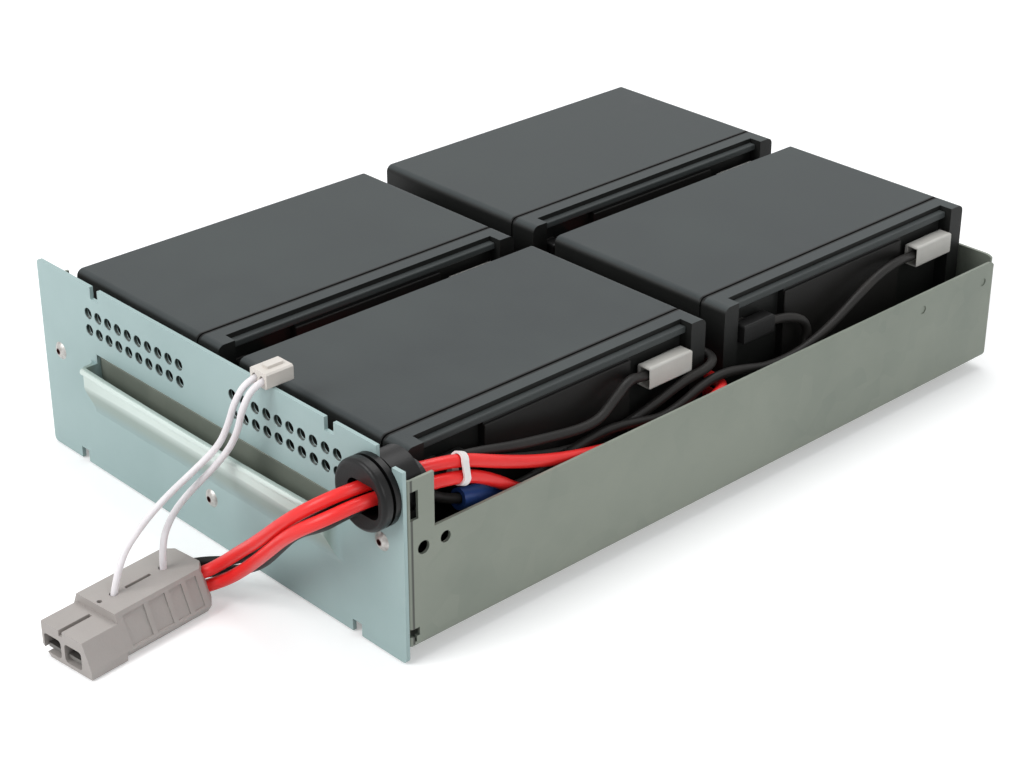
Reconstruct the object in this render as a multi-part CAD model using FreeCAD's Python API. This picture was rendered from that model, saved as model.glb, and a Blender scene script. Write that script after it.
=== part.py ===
import FreeCAD, Part
import math
import os

# UPS battery cartridge: a folded steel tray with four sealed batteries, a front plate with a
# drawn scoop handle, and the leads that run out through a bushing to a two-pole power connector.
# Millimetres, +Z up, front towards -Y. While it is drawn, y = 0 is the plate's front face.

Vec = FreeCAD.Vector
acrossX = Vec(1, 0, 0)
acrossY = Vec(0, 1, 0)
upZ = Vec(0, 0, 1)

# ---- driving dimensions ----
plateHeight = 81.5
plateThick = 1.6
plateInset = 0.3
traySheet = 1.2
trayLift = 5.4
wallHeight = 45.4
rearWallHeight = 46.9
bendRadius = 2.0
wallCornerRadius = 5.0

batteryLength = 151.0
batteryWide = 65.0
batteryTall = 94.0
batteryGap = 11.0
columnGap = 12.9
frontChannel = 12.2
rearChannel = 4.5
leftChannel = 3.3
rightChannel = 14.6
padThick = 1.6
leadDiameter = 4.8
senseDiameter = 2.6
fitGap = 0.4

# ---- values that follow ----
trayWidth = 2 * traySheet + leftChannel + 2 * batteryTall + columnGap + rightChannel
trayLength = 2 * traySheet + frontChannel + 2 * batteryLength + batteryGap + rearChannel
trayHalf = trayWidth / 2
plateWidth = trayWidth - 2 * plateInset
trayFrontY = plateThick
trayRearY = trayFrontY + trayLength
floorTop = trayLift + traySheet
wallTop = trayLift + wallHeight
rearWallTop = trayLift + rearWallHeight
innerHalf = trayHalf - traySheet
trayInnerFrontY = trayFrontY + traySheet
batteryFloor = floorTop + padThick
batteryTop = batteryFloor + batteryWide
leftColumnX = leftChannel - innerHalf
rightColumnX = leftColumnX + batteryTall + columnGap
frontRowY = trayInnerFrontY + frontChannel
rearRowY = frontRowY + batteryLength + batteryGap

# ---- scoop handle ----
scoopEndMargin = 36.2
scoopHalf = plateWidth / 2 - scoopEndMargin
scoopFootZ = 26.2
scoopShoulderZ = scoopFootZ + 17.4
scoopLipZ = scoopShoulderZ + 5.3
scoopEndDepth = 7.1
scoopBow = 1.0
scoopTopGap = 4.0
scoopCornerRadius = 3.0
scoopBlendRadius = 3.6
lipBeadRadius = 1.45

# ---- bushing ----
bushingSideMargin = 14.0
bushingTopMargin = 16.8
bushingX = plateWidth / 2 - bushingSideMargin
bushingZ = plateHeight - bushingTopMargin
bushingRimRadius = 13.5
bushingBarrelStep = 1.5
bushingGrooveStep = 2.1
bushingBarrelRadius = bushingRimRadius - bushingBarrelStep
bushingGrooveRadius = bushingRimRadius - bushingGrooveStep
bushingWayOffset = 2.3
bushingWayX = bushingX + bushingWayOffset
bushingWayHalfWidth = 8.0
bushingWayHalfHeight = 6.2
bushingWayCorner = 3.8
bushingFront = 7.6
bushingRear = 11.4
bushingSlotHalf = 4.0
bushingSlotOffset = 4.7
handleFrontY = -(scoopEndDepth + scoopBow - plateThick / 2 + lipBeadRadius)
centreShift = -(trayRearY + handleFrontY) / 2


def block(x0, x1, y0, y1, z0, z1):
    """A box between two corners."""
    return Part.makeBox(x1 - x0, y1 - y0, z1 - z0, Vec(x0, y0, z0))


def rod(start, direction, radius, length):
    return Part.makeCylinder(radius, length, start, direction)


def edgesAlong(shape, direction):
    """The straight edges of a shape that run along one axis."""
    found = []
    for edge in shape.Edges:
        if isinstance(edge.Curve, Part.Line) and abs(abs(edge.Curve.Direction.dot(direction)) - 1) < 1e-6:
            found.append(edge)
    return found


def roundedBlock(x0, x1, y0, y1, z0, z1, direction, radius):
    shape = block(x0, x1, y0, y1, z0, z1)
    return shape.makeFillet(radius, edgesAlong(shape, direction))


def save(name, shapes):
    group = shapes if isinstance(shapes, list) else [shapes]
    moved = []
    for shape in group:
        piece = shape.copy()
        piece.translate(Vec(0, centreShift, 0))
        moved.append(piece)
    result = moved[0] if len(moved) == 1 else Part.makeCompound(moved)
    result.exportStep("parts/" + name + ".step")
    box = result.BoundBox
    print("%-24s solids %d valid %s volume %.0f z %.1f..%.1f" % (
        name, len(result.Solids), result.isValid(), result.Volume, box.ZMin, box.ZMax))


# ================= tray =================
postTopMargin = 9.3
postTop = plateHeight - postTopMargin
postDepth = 12.0
postSlotY = (2.9, 6.4)
postSlotZ = (56.6, 67.8)
postHoles = ((8.5, 44.4, 2.6), (18.5, 44.5, 2.3))
cornerReliefY = 6.0
cornerReliefZ = (10.0, 13.2)
cornerSlit = 1.0
spotWelds = ((284.0, 43.3), (325.6, 42.8))
spotRadius = 1.8
spotDepth = 0.4
rivetInset = 11.6
rivetDrop = 19.7
rivetSideZ = bushingZ - rivetDrop
rivetMiddle = (-1.0, 19.0)
rivetSideX = plateWidth / 2 - rivetInset
rivetSpots = ((-rivetSideX, rivetSideZ), rivetMiddle, (rivetSideX, rivetSideZ))
rivetHoleRadius = 2.1


def roundWallCorner(x0, x1, y0, y1, top, cornerAt, alongX):
    """The piece that is cut away to round the top corner of a wall."""
    radius = wallCornerRadius
    square = block(x0, x1, y0, y1, top - radius, top + 1)
    if alongX:
        inner = cornerAt - math.copysign(radius, cornerAt)
        keep = rod(Vec(inner, y0, top - radius), acrossY, radius, y1 - y0)
    else:
        inner = cornerAt - radius
        keep = rod(Vec(x0, inner, top - radius), acrossX, radius, x1 - x0)
    return square.cut(keep)


def makeTray():
    outer = block(-trayHalf, trayHalf, trayFrontY, trayRearY, trayLift, postTop)
    bends = edgesAlong(outer, upZ)
    bends += [edge for edge in edgesAlong(outer, acrossX) + edgesAlong(outer, acrossY)
              if edge.CenterOfMass.z < trayLift + 1]
    outer = outer.makeFillet(bendRadius, bends)
    inner = block(-innerHalf, innerHalf, trayInnerFrontY, trayRearY - traySheet, floorTop, postTop + 1)
    bends = edgesAlong(inner, upZ)
    bends += [edge for edge in edgesAlong(inner, acrossX) + edgesAlong(inner, acrossY)
              if edge.CenterOfMass.z < floorTop + 1]
    inner = inner.makeFillet(bendRadius - traySheet, bends)
    tray = outer.cut(inner)
    past = trayHalf + 1
    postRear = trayFrontY + postDepth
    flangeInnerX = bushingX + 3
    tray = tray.cut(block(-flangeInnerX, flangeInnerX, 0, postRear, wallTop, postTop + 1))
    tray = tray.cut(block(-past, past, postRear, trayRearY - bendRadius, wallTop, postTop + 1))
    tray = tray.cut(block(-past, past, trayRearY - bendRadius, trayRearY + 1, rearWallTop, postTop + 1))
    for side in (-1, 1):
        edge = side * trayHalf
        low, high = sorted((edge - side * (wallCornerRadius + 0.2), edge + side))
        tray = tray.cut(roundWallCorner(low, high, trayRearY - bendRadius, trayRearY + 1,
                                        rearWallTop, edge, True))
        low, high = sorted((edge - side * bendRadius, edge + side))
        tray = tray.cut(roundWallCorner(low, high, trayRearY - wallCornerRadius, trayRearY + 1,
                                        wallTop, trayRearY, False))
        low, high = sorted((edge - side * (traySheet + fitGap), edge + side))
        tray = tray.cut(block(low, high, postSlotY[0], postSlotY[1], postSlotZ[0], postSlotZ[1]))
        tray = tray.cut(block(low, high, trayFrontY - 1, cornerReliefY, cornerReliefZ[0], cornerReliefZ[1]))
        slitY = trayFrontY + bendRadius
        tray = tray.cut(block(low, high, slitY, slitY + cornerSlit, floorTop + traySheet, cornerReliefZ[1]))
        for holeY, holeZ, holeRadius in postHoles:
            tray = tray.cut(rod(Vec(low, holeY, holeZ), acrossX, holeRadius, high - low))
        for spotY, spotZ in spotWelds:
            start = edge if side < 0 else edge - spotDepth
            tray = tray.cut(rod(Vec(start, spotY, spotZ), acrossX, spotRadius, spotDepth))
    for rivetX, rivetZ in rivetSpots:
        tray = tray.cut(rod(Vec(rivetX, 0, rivetZ), acrossY, rivetHoleRadius, trayInnerFrontY + 1))
    tray = tray.cut(rod(Vec(bushingX, 0, bushingZ), acrossY, bushingBarrelRadius + fitGap, postRear))
    return tray


# ================= front plate with the drawn scoop handle =================
ventRadius = 2.4
ventPitch = 6.6
ventCount = 10
ventTopMargin = 12.1
ventRowSpacing = 7.1
ventRowsZ = (plateHeight - ventTopMargin - ventRowSpacing, plateHeight - ventTopMargin)
ventStartX = (-75.8, 16.6)
notchWidth = 5.0
notchDepth = 5.0
topNotchesX = (-70.7, 72.0)
bottomNotchesX = (-87.6, 83.7)
earDrop = 5.1
plateCornerRadius = 2.0


def scoopForm(inset):
    """The scoop's solid form. The outer skin has no inset, and the hollow is one sheet smaller."""
    half = scoopHalf - inset
    endY = -(scoopEndDepth - inset)
    midY = endY - scoopBow
    backY = plateThick
    plan = Part.Wire([
        Part.LineSegment(Vec(-half, backY, 0), Vec(-half, endY, 0)).toShape(),
        Part.Arc(Vec(-half, endY, 0), Vec(0, midY, 0), Vec(half, endY, 0)).toShape(),
        Part.LineSegment(Vec(half, endY, 0), Vec(half, backY, 0)).toShape(),
        Part.LineSegment(Vec(half, backY, 0), Vec(-half, backY, 0)).toShape()])
    column = Part.Face(plan).extrude(Vec(0, 0, scoopLipZ - scoopFootZ + 4))
    column.translate(Vec(0, 0, scoopFootZ - 4))
    corners = [edge for edge in edgesAlong(column, upZ) if edge.CenterOfMass.y < 0]
    column = column.makeFillet(scoopCornerRadius - inset * 0.9, corners)
    depth = scoopEndDepth + scoopBow - inset
    foot = scoopFootZ + inset * 1.1
    side = Part.Face(Part.makePolygon([
        Vec(-half - 1, backY, foot), Vec(-half - 1, 0, foot), Vec(-half - 1, -depth, scoopShoulderZ),
        Vec(-half - 1, -depth - 1, scoopShoulderZ), Vec(-half - 1, -depth - 1, scoopLipZ),
        Vec(-half - 1, backY, scoopLipZ), Vec(-half - 1, backY, foot)]))
    return column.common(side.extrude(Vec(2 * half + 2, 0, 0)))


def lipBead():
    """The rolled edge along the top of the scoop, bowed as its face is."""
    half = scoopHalf - plateThick / 2
    endY = -(scoopEndDepth - plateThick / 2)
    midY = endY - scoopBow
    bowRadius = (half * half + scoopBow * scoopBow) / (2 * scoopBow)
    centre = Vec(0, midY + bowRadius, scoopLipZ - lipBeadRadius)
    angle = math.degrees(math.asin(half / bowRadius))
    circle = Part.Circle(Vec(0, midY, centre.z), acrossX, lipBeadRadius).toShape()
    bead = Part.Face(Part.Wire(circle)).revolve(centre, upZ, 2 * angle)
    bead.rotate(centre, upZ, -angle)
    return bead


def makeFrontPlate():
    half = plateWidth / 2
    plate = block(-half, half, 0, plateThick, 0, plateHeight)
    plate = plate.makeFillet(plateCornerRadius, edgesAlong(plate, acrossY))
    plate = plate.fuse(scoopForm(0)).removeSplitter()
    joints = []
    for edge in plate.Edges:
        place = edge.CenterOfMass
        onPlate = abs(edge.BoundBox.YMin) < 1e-6 and abs(edge.BoundBox.YMax) < 1e-6
        inScoop = scoopFootZ - 1 < place.z < scoopLipZ - 1 and abs(place.x) < scoopHalf + 0.1
        if onPlate and inScoop:
            joints.append(edge)
    plate = plate.makeFillet(scoopBlendRadius, joints)
    hollow = scoopForm(plateThick)
    openTop = scoopLipZ + scoopTopGap
    openHalf = scoopHalf - plateThick
    plate = plate.cut(hollow)
    plate = plate.cut(block(-openHalf, openHalf, -scoopEndDepth + plateThick, plateThick + 1, scoopLipZ - 1, openTop))
    plate = plate.fuse(lipBead())
    for centreX in topNotchesX:
        plate = plate.cut(block(centreX - notchWidth / 2, centreX + notchWidth / 2, -1, plateThick + 1,
                                plateHeight - notchDepth, plateHeight + 1))
    for centreX in bottomNotchesX:
        plate = plate.cut(block(centreX - notchWidth / 2, centreX + notchWidth / 2, -1, plateThick + 1,
                                -1, notchDepth))
    for startX in ventStartX:
        for row in ventRowsZ:
            for number in range(ventCount):
                spot = Vec(startX + number * ventPitch, -1, row)
                plate = plate.cut(rod(spot, acrossY, ventRadius, plateThick + 2))
    for rivetX, rivetZ in rivetSpots:
        plate = plate.cut(rod(Vec(rivetX, -1, rivetZ), acrossY, rivetHoleRadius, plateThick + 2))
    plate = plate.cut(rod(Vec(bushingX, -1, bushingZ), acrossY, bushingGrooveRadius, plateThick + 2))
    slotX = bushingX + bushingSlotOffset
    plate = plate.cut(block(slotX - bushingSlotHalf, slotX + bushingSlotHalf, -1, plateThick + 1,
                            bushingZ, plateHeight + 1))
    plate = plate.cut(block(slotX, half + 1, -1, plateThick + 1, plateHeight - earDrop, plateHeight + 1))
    return plate.removeSplitter()


# ================= rivets =================
rivetHeadRadius = 3.7
rivetHeadHeight = 1.5
rivetMandrelRadius = 1.1
rivetTailRadius = 2.9
rivetTailLength = 2.2


def makeRivet(x, z):
    """A blind rivet: domed head, shank through both sheets, swollen tail, hollow mandrel end."""
    dome = rivetHeadRadius * rivetHeadRadius / (2 * rivetHeadHeight) + rivetHeadHeight / 2
    head = Part.makeSphere(dome, Vec(x, dome - rivetHeadHeight, z))
    head = head.common(rod(Vec(x, -rivetHeadHeight, z), acrossY, rivetHeadRadius, rivetHeadHeight))
    shank = rod(Vec(x, 0, z), acrossY, rivetHoleRadius, trayInnerFrontY)
    tail = rod(Vec(x, trayInnerFrontY, z), acrossY, rivetTailRadius, rivetTailLength)
    tail = tail.makeFillet(0.9, [tail.Edges[0] if tail.Edges[0].CenterOfMass.y > trayInnerFrontY + 1
                                 else tail.Edges[2]])
    rivet = head.fuse([shank, tail])
    return rivet.cut(rod(Vec(x, -rivetHeadHeight, z), acrossY, rivetMandrelRadius, rivetHeadHeight + 0.8))


# ================= bushing =================
bushingGroove = 1.3
bushingRimRear = 2.4


def makeBushing():
    front = rod(Vec(bushingX, -bushingRimRear, bushingZ), acrossY, bushingRimRadius, bushingRimRear)
    neck = rod(Vec(bushingX, -bushingRimRear - bushingGroove, bushingZ), acrossY,
               bushingBarrelRadius, bushingGroove)
    nose = rod(Vec(bushingX, -bushingFront, bushingZ), acrossY, bushingRimRadius,
               bushingFront - bushingRimRear - bushingGroove)
    nose = nose.makeFillet(1.6, [edge for edge in nose.Edges if edge.CenterOfMass.y < -bushingFront + 0.1])
    waist = rod(Vec(bushingX, 0, bushingZ), acrossY, bushingGrooveRadius, plateThick)
    barrel = rod(Vec(bushingX, plateThick, bushingZ), acrossY, bushingBarrelRadius, bushingRear - plateThick)
    way = roundedBlock(bushingWayX - bushingWayHalfWidth, bushingWayX + bushingWayHalfWidth,
                       -bushingFront - 1, bushingRear + 1, bushingZ - bushingWayHalfHeight,
                       bushingZ + bushingWayHalfHeight, acrossY, bushingWayCorner)
    return front.fuse([neck, nose, waist, barrel]).cut(way).removeSplitter()


# ================= batteries =================
seamHeight = 1.0
seamInset = 0.6
terminalDrop = 6.0
lidHeight = 13.4
caseHeight = batteryTall - lidHeight
lidTop = batteryTall - terminalDrop
batteryEdgeRadius = 3.0
endBlockLength = 8.0
plinthTop = lidTop + 2.6
plinthInset = 3.0
coverInset = 2.2
coverStart = 38.5
coverSlope = 6.0
tabWidth = 6.35
tabThick = 0.8
tabTop = lidTop + 7.3
tabFoot = 1.2
footHalf = 5.2
tabHeight = batteryWide * 0.78
tabOffset = 13.5
receptacleWall = 0.9
receptacleRoom = 0.1


def prism(startX, endX, originX, originY, inset):
    return roundedBlock(originX + startX, originX + endX, originY + inset, originY + batteryLength - inset,
                        batteryFloor + inset, batteryTop - inset, acrossX, batteryEdgeRadius - inset)


def makeBattery(name, originX, originY):
    save(name + "_case", prism(0, caseHeight, originX, originY, 0))
    endY = originY + batteryLength
    lid = prism(caseHeight, caseHeight + seamHeight, originX, originY, seamInset)
    lid = lid.fuse(prism(caseHeight + seamHeight, lidTop, originX, originY, 0))
    full = prism(lidTop, batteryTall, originX, originY, 0)
    blocks = full.cut(block(originX + lidTop, originX + batteryTall, originY + endBlockLength,
                            endY - endBlockLength, batteryFloor, batteryTop))
    plinth = block(originX + lidTop, originX + plinthTop, originY + coverStart, endY - coverStart,
                   batteryFloor + plinthInset, batteryTop - plinthInset)
    lid = lid.fuse([blocks, plinth]).removeSplitter()
    save(name + "_lid", lid)
    low = batteryFloor + coverInset
    outline = Part.makePolygon([
        Vec(originX + plinthTop, originY + coverStart, low),
        Vec(originX + batteryTall, originY + coverStart + coverSlope, low),
        Vec(originX + batteryTall, endY - coverStart - coverSlope, low),
        Vec(originX + plinthTop, endY - coverStart, low),
        Vec(originX + plinthTop, originY + coverStart, low)])
    cover = Part.Face(outline).extrude(Vec(0, 0, batteryWide - 2 * coverInset))
    save(name + "_vent_cover", cover)
    tabs = []
    for tabY in (originY + tabOffset, endY - tabOffset):
        centreZ = batteryFloor + tabHeight
        tab = block(originX + lidTop, originX + tabTop, tabY - tabWidth / 2, tabY + tabWidth / 2,
                    centreZ - tabThick / 2, centreZ + tabThick / 2)
        foot = roundedBlock(originX + lidTop, originX + lidTop + tabFoot, tabY - footHalf, tabY + footHalf,
                            centreZ - tabWidth / 2, centreZ + tabWidth / 2, acrossX, 2.0)
        tabs.append(tab.fuse(foot))
    save(name + "_terminals", tabs)


# ---- push-on receptacles ----
rearShroud = {"length": 23.3, "height": 9.3, "low": lidTop + 1.8, "high": lidTop + 8.2, "past": 4.0}
frontShroud = {"length": 18.0, "height": 8.0, "low": lidTop + 1.8, "high": lidTop + 8.2, "past": 4.0}
wirePocketDepth = 5.0
wireLevel = lidTop + 5.4


def makeShroud(originX, originY, size, atRear):
    """An insulated flag receptacle pushed on a tab. Its lead leaves along the battery, inwards."""
    tabY = originY + (batteryLength - tabOffset if atRear else tabOffset)
    toward = -1 if atRear else 1
    closedEnd = tabY - toward * size["past"]
    openEnd = closedEnd + toward * size["length"]
    y0, y1 = sorted((closedEnd, openEnd))
    centreZ = batteryFloor + tabHeight
    low = originX + size["low"]
    high = originX + size["high"]
    body = block(low, high, y0, y1, centreZ - size["height"] / 2, centreZ + size["height"] / 2)
    body = body.makeFillet(1.0, edgesAlong(body, acrossY) + edgesAlong(body, acrossX))
    body = body.cut(block(low - 1, originX + tabTop, tabY - tabWidth / 2, tabY + tabWidth / 2,
                          centreZ - tabThick / 2, centreZ + tabThick / 2))
    pocketInner = openEnd - toward * wirePocketDepth
    p0, p1 = sorted((pocketInner, openEnd + toward))
    pocketHalf = size["height"] / 2 - receptacleWall
    wireHalf = leadDiameter / 2 + receptacleRoom
    pocket = block(originX + wireLevel - wireHalf, originX + wireLevel + wireHalf, p0, p1,
                   centreZ - pocketHalf, centreZ + pocketHalf)
    return body.cut(pocket)


# ================= leads: routes are lists of points, joined by runs and tangent arcs =================
arcShare = 0.45

redLeadA = [
    (-12.7, 37.5, 58.9), (-12.7, 44.0, 58.9), (-9.3, 55.6, 58.2), (-3.6, 74.0, 54.6), (-3.3, 98.0, 50.4),
    (-3.4, 120.0, 46.6), (-3.3, 138.0, 45.6), (-3.6, 152.0, 45.4), (-4.6, 164.8, 45.4), (2.4, 172.2, 45.6),
    (13.6, 171.5, 45.4), (30.0, 171.7, 45.6), (52.0, 171.3, 45.4), (76.0, 171.7, 45.6), (91.0, 171.5, 45.5),
    (99.6, 171.2, 45.4), (105.0, 165.2, 45.4), (105.1, 153.0, 45.2), (104.9, 130.0, 43.6),
    (105.1, 98.0, 43.9), (105.1, 76.0, 47.6), (105.1, 56.0, 56.0), (105.1, 39.0, 63.4), (102.2, 27.0, 68.4),
    (98.5, 16.0, 68.0), (95.5, 0.6, 67.4), (91.4, -18.0, 67.3), (81.4, -27.4, 58.6), (63.0, -21.0, 43.5),
    (43.0, -10.8, 24.4), (31.6, -16.6, 11.2), (27.6, -31.9, 5.5)]

redLeadB = [
    (-12.7, 199.5, 58.9), (-12.7, 206.0, 58.9), (-9.8, 216.0, 58.2), (-9.0, 223.4, 53.0),
    (-8.9, 223.4, 44.0), (-8.9, 217.0, 38.2), (-8.7, 204.0, 38.4), (-8.3, 188.0, 38.2), (-7.0, 176.8, 38.2),
    (-1.4, 171.3, 38.2), (8.0, 171.6, 38.1), (26.0, 171.3, 38.3), (52.0, 171.7, 38.1), (76.0, 171.3, 38.3),
    (91.0, 171.6, 38.2), (99.6, 171.2, 38.1), (105.0, 165.2, 38.2), (105.1, 153.0, 38.3),
    (104.9, 130.0, 37.6), (105.1, 100.0, 36.6), (105.1, 75.0, 40.0), (105.1, 54.0, 50.2), (105.1, 38.0, 57.6),
    (105.1, 27.0, 63.4), (104.2, 16.8, 66.3), (100.7, 0.8, 67.6), (96.0, -20.6, 67.3), (86.0, -33.4, 61.6),
    (61.5, -27.4, 46.6), (43.0, -16.2, 25.8), (32.8, -20.8, 15.0), (27.7, -31.7, 10.8)]

blackLeadA = [
    (94.2, 138.2, 58.9), (94.2, 131.6, 58.9), (98.0, 120.0, 60.4), (99.8, 101.0, 56.8), (99.5, 76.0, 58.6),
    (99.5, 48.0, 61.0), (99.8, 28.0, 58.4), (103.4, 14.6, 61.4), (100.4, -0.4, 62.4), (96.4, -18.6, 62.2),
    (84.4, -28.6, 52.2), (60.0, -19.4, 34.2), (40.0, -6.5, 14.2), (23.0, -17.0, 10.9), (16.8, -32.9, 11.0)]

blackLeadB = [
    (94.2, 300.2, 58.9), (94.2, 293.6, 58.9), (98.8, 282.0, 58.4), (104.2, 263.0, 54.2),
    (105.1, 237.0, 50.8), (105.0, 208.0, 51.0), (103.6, 184.0, 52.8), (100.6, 162.0, 50.6),
    (99.8, 141.0, 43.8), (99.8, 118.0, 42.8), (99.9, 96.0, 43.8), (99.8, 76.0, 42.6), (99.9, 56.0, 43.4),
    (99.8, 31.0, 49.2), (98.9, 20.0, 56.2), (97.3, 10.8, 62.0), (95.2, 0.0, 62.3), (91.3, -16.2, 62.2),
    (79.6, -22.4, 50.2), (60.0, -12.4, 26.9), (42.0, -6.0, 7.2), (23.4, -17.0, 6.0), (16.8, -32.9, 5.9)]

linkLeadA = [
    (94.2, 37.5, 58.9), (94.2, 44.0, 58.9), (97.0, 55.6, 55.0), (99.8, 73.0, 50.8), (99.9, 98.0, 50.2),
    (99.8, 126.0, 51.4), (100.0, 150.0, 56.8), (100.3, 164.6, 59.0), (95.0, 171.7, 59.1), (84.0, 171.5, 58.9),
    (64.0, 171.7, 59.1), (36.0, 171.4, 58.9), (16.0, 171.6, 59.1), (3.0, 171.4, 59.0), (-4.4, 167.6, 58.0),
    (-7.0, 156.0, 52.0), (-8.9, 139.0, 44.0), (-8.9, 118.0, 38.6), (-8.9, 104.0, 38.2), (-8.9, 94.4, 38.7),
    (-8.9, 88.0, 44.4), (-8.9, 88.0, 53.2), (-8.9, 94.4, 59.2), (-9.0, 108.0, 60.4), (-9.0, 121.6, 60.0),
    (-12.7, 131.7, 58.9), (-12.7, 138.2, 58.9)]

linkLeadB = [
    (94.2, 199.5, 58.9), (94.2, 206.0, 58.9), (98.0, 216.0, 58.2), (99.4, 223.4, 53.0), (99.6, 223.4, 44.0),
    (99.8, 214.6, 36.6), (101.0, 199.0, 31.2), (101.6, 183.4, 30.8), (99.6, 175.6, 30.8), (92.2, 171.5, 30.9),
    (78.0, 171.7, 30.7), (56.0, 171.3, 30.9), (30.0, 171.7, 30.7), (12.0, 171.4, 30.9), (2.4, 171.9, 30.8),
    (-2.8, 177.6, 30.8), (-2.9, 190.0, 30.9), (-2.8, 212.0, 32.4), (-3.2, 238.0, 40.0), (-6.6, 262.0, 52.6),
    (-9.1, 282.0, 60.0), (-12.7, 293.6, 58.9), (-12.7, 300.2, 58.9)]

senseWireRear = [
    (38.4, 4.2, 84.6), (38.4, -5.4, 84.6), (37.6, -11.0, 76.4), (34.8, -11.2, 66.8), (29.0, -11.8, 56.4),
    (20.6, -15.0, 45.0), (15.8, -22.0, 36.6), (17.6, -31.0, 31.6), (23.6, -39.6, 26.4), (24.0, -39.9, 14.8)]

senseWireFront = [
    (34.2, 4.2, 84.6), (34.2, -5.4, 84.6), (33.0, -11.0, 76.8), (29.6, -11.4, 67.4), (24.4, -12.6, 56.6),
    (17.6, -19.6, 46.2), (17.2, -33.0, 39.6), (20.6, -46.0, 34.8), (25.0, -58.6, 28.2), (25.6, -62.4, 14.8)]


def routeWire(points):
    """Straight runs joined by tangent arcs. Each arc's radius takes a set share of the shorter run."""
    corners = [Vec(*point) for point in points]
    edges = []
    radii = []
    start = corners[0]
    for index in range(1, len(corners) - 1):
        corner = corners[index]
        before = corner - corners[index - 1]
        after = corners[index + 1] - corner
        reach = arcShare * min(before.Length, after.Length)
        turn = before.getAngle(after)
        before.normalize()
        after.normalize()
        entry = corner - before * reach
        leave = corner + after * reach
        radius = reach / math.tan(turn / 2)
        inward = (after - before).normalize()
        middle = corner + inward * (radius / math.cos(turn / 2) - radius)
        edges.append(Part.LineSegment(start, entry).toShape())
        edges.append(Part.Arc(entry, middle, leave).toShape())
        radii.append(radius)
        start = leave
    edges.append(Part.LineSegment(start, corners[-1]).toShape())
    return Part.Wire(edges), radii


def makeTube(name, points, diameter, trimmedBy=None):
    wire, radii = routeWire(points)
    first = Vec(*points[0])
    heading = Vec(*points[1]) - first
    circle = Part.Wire(Part.Circle(first, heading, diameter / 2).toShape())
    tube = wire.makePipeShell([circle], True, True)
    section = math.pi * diameter * diameter / 4 * wire.Length
    print("%-18s length %.0f mm, radii %s, volume share %.3f" % (
        name, wire.Length, " ".join("%.0f" % radius for radius in radii), tube.Volume / section))
    if trimmedBy:
        tube = tube.cut(trimmedBy)
    save(name, tube)
    return tube


# ================= power connector =================
connectorYaw = 6.0
connectorReach = 86.5
connectorX = 28.4
connectorFront = Vec(connectorX, -connectorReach, 0)
connectorLength = 58.6
noseLength = 16.0
bodyTopHalf = 10.2
bodyWideHalf = 15.6
bodyWideZ = 3.4
bodyUnderHalf = 13.4
bodyHeight = 16.8
noseTop = 13.4
noseLeft = -10.4
mouthHalf = 4.5
mouthCentres = (-4.9, 6.1)
mouthLow = 1.6
mouthHigh = 9.0
mouthDepth = 13.0
poleSpacing = 5.4
leadWellDepth = 3.0
leadWellInner = 2.7
leadWellOuter = 4.4
leadWellLow = 3.0
leadWellHigh = 14.9
senseHolesV = (24.3, 46.9)
senseSeat = 2.0
gripRibs = (17.9, 29.4, 39.0, 46.8, 53.6)
gripRib = 2.0
gripDepth = 0.9
slotHalf = 0.7
slotStart = 29.6
slotLength = 11.6
slotDepth = 1.2


def connectorPlace(shape):
    """Turns a shape drawn along +Y from the connector's front face to where the connector lies."""
    shape.rotate(Vec(0, 0, 0), upZ, connectorYaw)
    shape.translate(connectorFront)
    return shape


def profileSolid(points, y0, y1):
    """A solid with one outline, given as (x, z), from y0 to y1."""
    ring = [Vec(x, y0, z) for x, z in points]
    return Part.Face(Part.makePolygon(ring + ring[:1])).extrude(Vec(0, y1 - y0, 0))


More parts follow.
